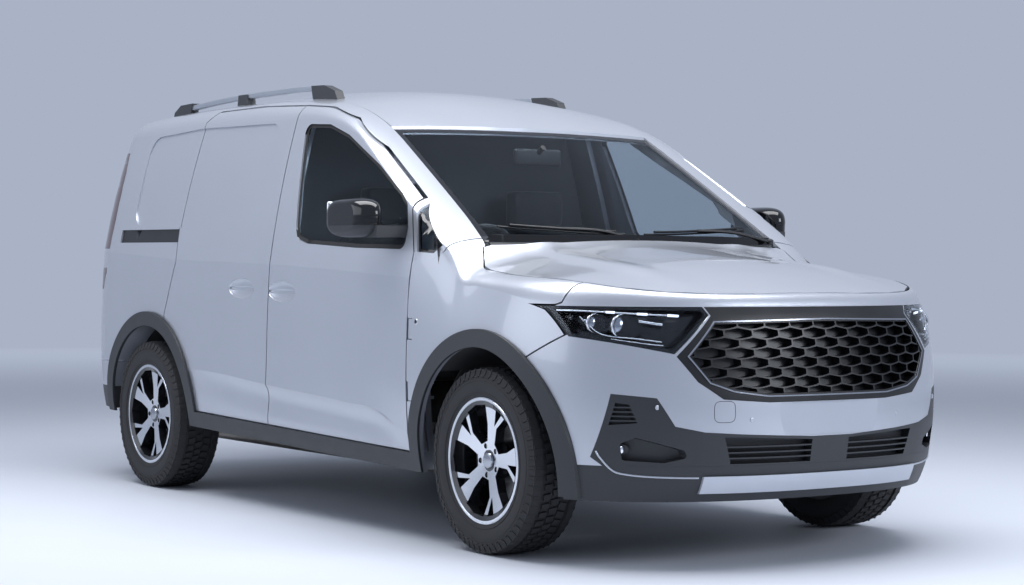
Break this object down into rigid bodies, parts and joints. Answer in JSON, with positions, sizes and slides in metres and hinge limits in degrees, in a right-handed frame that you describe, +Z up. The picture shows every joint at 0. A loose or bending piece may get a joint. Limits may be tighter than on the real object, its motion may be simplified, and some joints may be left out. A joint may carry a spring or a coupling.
{
  "type": "panel van",
  "caption": "Compact panel van with a two-seat cab, hinged front and rear doors, a lifting bonnet, steered front wheels and a closed load space behind a bulkhead.",
  "frame": {"origin": "on the ground, below the middle of the van", "axes": "+X forward, +Y to the left, +Z up"},
  "size_m": [4.5087, 2.116, 1.7999],
  "materials": {
    "paint": "metallic",
    "tinted_glass": "clear",
    "lamp_glass": "clear",
    "grille_black": "gloss",
    "dark_plastic": "grained",
    "silver_plastic": "satin",
    "bright_trim": "polished",
    "rail_metal": "satin",
    "underseal": "matt",
    "tank_plastic": "matt",
    "engine_metal": "cast",
    "pipe_steel": "brushed",
    "seat_cloth": "woven",
    "tyre_rubber": "matt",
    "rim_alloy": "machined"
  },
  "bodies": {
    "root": {"body_sides": "paint", "bulkhead": "dark_plastic", "bumper_cladding": "dark_plastic", "cowl_panel": "dark_plastic", "dashboard": "dark_plastic", "engine_block": "engine_metal", "exhaust": "pipe_steel", "floor_pan": "underseal", "front_bumper": "paint", "front_subframe": "underseal", "front_wings": "paint", "fuel_tank": "tank_plastic", "grille": "grille_black", "grille_trim": "bright_trim", "headlamp_lenses": "lamp_glass", "headlamps": "grille_black", "load_floor": "dark_plastic", "quarter_glasses": "tinted_glass", "rail_feet": "dark_plastic", "rear_axle": "underseal", "rear_bumper": "paint", "rear_header": "paint", "rear_valance": "dark_plastic", "roof_panel": "paint", "roof_rails": "rail_metal", "seats": "seat_cloth", "side_cladding": "dark_plastic", "skid_plate": "silver_plastic", "slam_panel": "grille_black", "slide_rails": "grille_black", "sliding_doors": "paint", "steering_wheel": "dark_plastic", "tail_lamps": "lamp_glass", "windscreen": "tinted_glass"},
    "front_door_left": {"front_door_left": "paint", "door_glass_left": "tinted_glass", "mirror_left": "dark_plastic", "mirror_cap_left": "grille_black"},
    "front_door_right": {"front_door_right": "paint", "door_glass_right": "tinted_glass", "mirror_right": "dark_plastic", "mirror_cap_right": "grille_black"},
    "bonnet": {"bonnet": "paint"},
    "rear_door_left": {"rear_door_left": "paint", "rear_glass_left": "tinted_glass"},
    "rear_door_right": {"rear_door_right": "paint", "rear_glass_right": "tinted_glass"},
    "knuckle_left": {"knuckle_left": "underseal"},
    "knuckle_right": {"knuckle_right": "underseal"},
    "wheel_front_left": {"tyre_front_left": "tyre_rubber", "rim_front_left": "rim_alloy"},
    "wheel_front_right": {"tyre_front_right": "tyre_rubber", "rim_front_right": "rim_alloy"},
    "wheel_rear_left": {"tyre_rear_left": "tyre_rubber", "rim_rear_left": "rim_alloy"},
    "wheel_rear_right": {"tyre_rear_right": "tyre_rubber", "rim_rear_right": "rim_alloy"}
  },
  "joints": [
    {"name": "steer_left", "type": "hinge", "parent": "root", "child": "knuckle_left", "pos_m": [1.4025, 0.7, 0.334], "axis": [0, 0, 1], "range_deg": [-35, 35]},
    {"name": "steer_right", "type": "hinge", "parent": "root", "child": "knuckle_right", "pos_m": [1.4025, -0.7, 0.334], "axis": [0, 0, 1], "range_deg": [-35, 35]},
    {"name": "spin_front_left", "type": "hinge", "parent": "knuckle_left", "child": "wheel_front_left", "pos_m": [1.4025, 0.789, 0.334], "axis": [0, 1, 0], "continuous": true},
    {"name": "spin_front_right", "type": "hinge", "parent": "knuckle_right", "child": "wheel_front_right", "pos_m": [1.4025, -0.789, 0.334], "axis": [0, 1, 0], "continuous": true},
    {"name": "spin_rear_left", "type": "hinge", "parent": "root", "child": "wheel_rear_left", "pos_m": [-1.3525, 0.807, 0.334], "axis": [0, 1, 0], "continuous": true},
    {"name": "spin_rear_right", "type": "hinge", "parent": "root", "child": "wheel_rear_right", "pos_m": [-1.3525, -0.807, 0.334], "axis": [0, 1, 0], "continuous": true},
    {"name": "door_front_left_hinge", "type": "hinge", "parent": "root", "child": "front_door_left", "pos_m": [0.934, 0.901, 0.7], "axis": [0, 0, -1], "range_deg": [0, 68]},
    {"name": "door_front_right_hinge", "type": "hinge", "parent": "root", "child": "front_door_right", "pos_m": [0.934, -0.901, 0.7], "axis": [0, 0, 1], "range_deg": [0, 68]},
    {"name": "bonnet_hinge", "type": "hinge", "parent": "root", "child": "bonnet", "pos_m": [1.15, 0, 1.14], "axis": [0, -1, 0], "range_deg": [0, 58]},
    {"name": "door_rear_left_hinge", "type": "hinge", "parent": "root", "child": "rear_door_left", "pos_m": [-2.134, 0.737, 1], "axis": [0, 0, -1], "range_deg": [0, 170]},
    {"name": "door_rear_right_hinge", "type": "hinge", "parent": "root", "child": "rear_door_right", "pos_m": [-2.134, -0.737, 1], "axis": [0, 0, 1], "range_deg": [0, 170]}
  ],
  "couplings": [
    {"joint": "steer_left", "follows": "steer_right", "ratio": 1}
  ]
}
